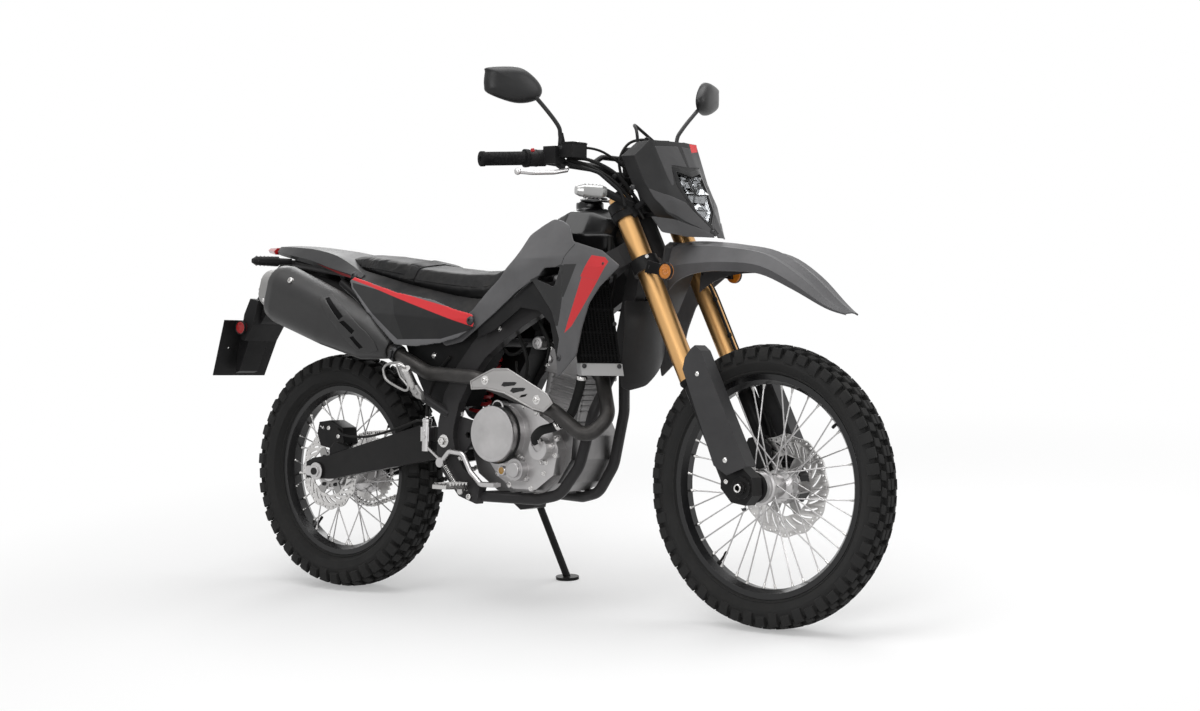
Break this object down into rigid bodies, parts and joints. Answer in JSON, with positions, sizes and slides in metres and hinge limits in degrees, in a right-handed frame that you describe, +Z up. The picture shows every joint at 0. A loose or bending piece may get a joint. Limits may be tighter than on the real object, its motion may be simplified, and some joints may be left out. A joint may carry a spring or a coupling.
{
  "type": "dual sport motorcycle",
  "caption": "Dual sport motorcycle leaning on its side stand: twin-spar frame, upside-down fork, knobby spoked wheels that turn, steering and folding stand.",
  "frame": {"origin": "bottom centre of the box around the bike as it leans on its side stand; z = 0 is the floor", "axes": "+X forward along the bike, +Y to the rider's left, the side the bike leans to, +Z up"},
  "size_m": [2.2706, 0.895, 1.4194],
  "materials": {
    "amber_lens": "clear amber",
    "black_plastic": "grained",
    "black_steel": "satin black",
    "body_dark": "satin moulded plastic",
    "body_grey": "satin moulded plastic",
    "clear_lens": "clear",
    "engine_grey": "satin cast aluminium",
    "engine_silver": "satin cast aluminium",
    "exhaust_steel": "heat-tinted satin",
    "frame_grey": "satin dark grey paint",
    "gold": "brushed gold anodised",
    "grip_rubber": "matt",
    "lamp_glass": "clear",
    "muffler_grey": "satin grey",
    "radiator_silver": "satin",
    "red_lens": "clear red",
    "rim_black": "black anodised",
    "seat_vinyl": "grained vinyl",
    "silver": "satin",
    "spring_red": "gloss",
    "steel": "brushed",
    "tyre": "matt rubber"
  },
  "bodies": {
    "chassis": {"airbox": "black_plastic", "brake_pedal": "silver", "chain": "steel", "coolant_hose": "black_plastic", "crankcase": "engine_grey", "cylinder": "engine_grey", "engine_covers": "engine_silver", "exhaust_pipe": "exhaust_steel", "fuel_tank": "body_grey", "heat_shield": "silver", "inner_fender": "black_plastic", "main_frame": "frame_grey", "muffler": "muffler_grey", "passenger_pegs": "steel", "plate_carrier": "black_plastic", "plate_panel": "silver", "radiator": "radiator_silver", "radiator_grille": "black_plastic", "rear_caliper": "engine_grey", "rear_signals": "clear_lens", "rider_pegs": "steel", "seat": "seat_vinyl", "shift_lever": "silver", "shock": "spring_red", "shroud_infills": "black_plastic", "shrouds": "body_grey", "side_covers": "body_grey", "splash_panel": "body_grey", "subframe": "frame_grey", "swingarm": "frame_grey", "tail": "body_dark", "tail_lamp": "red_lens"},
    "steering": {"yokes": "black_steel", "fork_tubes": "gold", "fork_legs": "silver", "fork_guards": "black_plastic", "front_fender": "body_grey", "headlight_mask": "body_grey", "headlamp": "lamp_glass", "handlebar": "black_steel", "grips": "grip_rubber", "hand_controls": "black_plastic", "mirrors": "black_plastic", "instrument": "black_plastic", "front_signals": "clear_lens", "front_caliper": "silver", "levers": "silver", "lamp_stay": "black_plastic", "front_reflectors": "amber_lens", "cables": "black_plastic"},
    "front_wheel": {"front_tyre": "tyre", "front_rim": "rim_black", "front_hub": "silver", "front_disc": "steel"},
    "rear_wheel": {"rear_tyre": "tyre", "rear_rim": "rim_black", "rear_hub": "silver", "rear_disc": "steel", "rear_sprocket": "steel"},
    "side_stand": {"side_stand": "black_steel"}
  },
  "joints": [
    {"name": "steering", "type": "hinge", "parent": "chassis", "child": "steering", "pos_m": [0.40115, -0.07181, 0.93783], "axis": [-0.4617, 0.154, 0.8735], "range_deg": [-45, 45]},
    {"name": "front_wheel", "type": "hinge", "parent": "steering", "child": "front_wheel", "pos_m": [0.78669, -0.17634, 0.34497], "axis": [0, 0.9848, -0.1736], "continuous": true},
    {"name": "rear_wheel", "type": "hinge", "parent": "chassis", "child": "rear_wheel", "pos_m": [-0.66831, -0.18016, 0.32331], "axis": [0, 0.9848, -0.1736], "continuous": true},
    {"name": "side_stand", "type": "hinge", "parent": "chassis", "child": "side_stand", "pos_m": [-0.12231, -0.01662, 0.23151], "axis": [0.0545, 0.9768, 0.2072], "range_deg": [0, 90]}
  ]
}
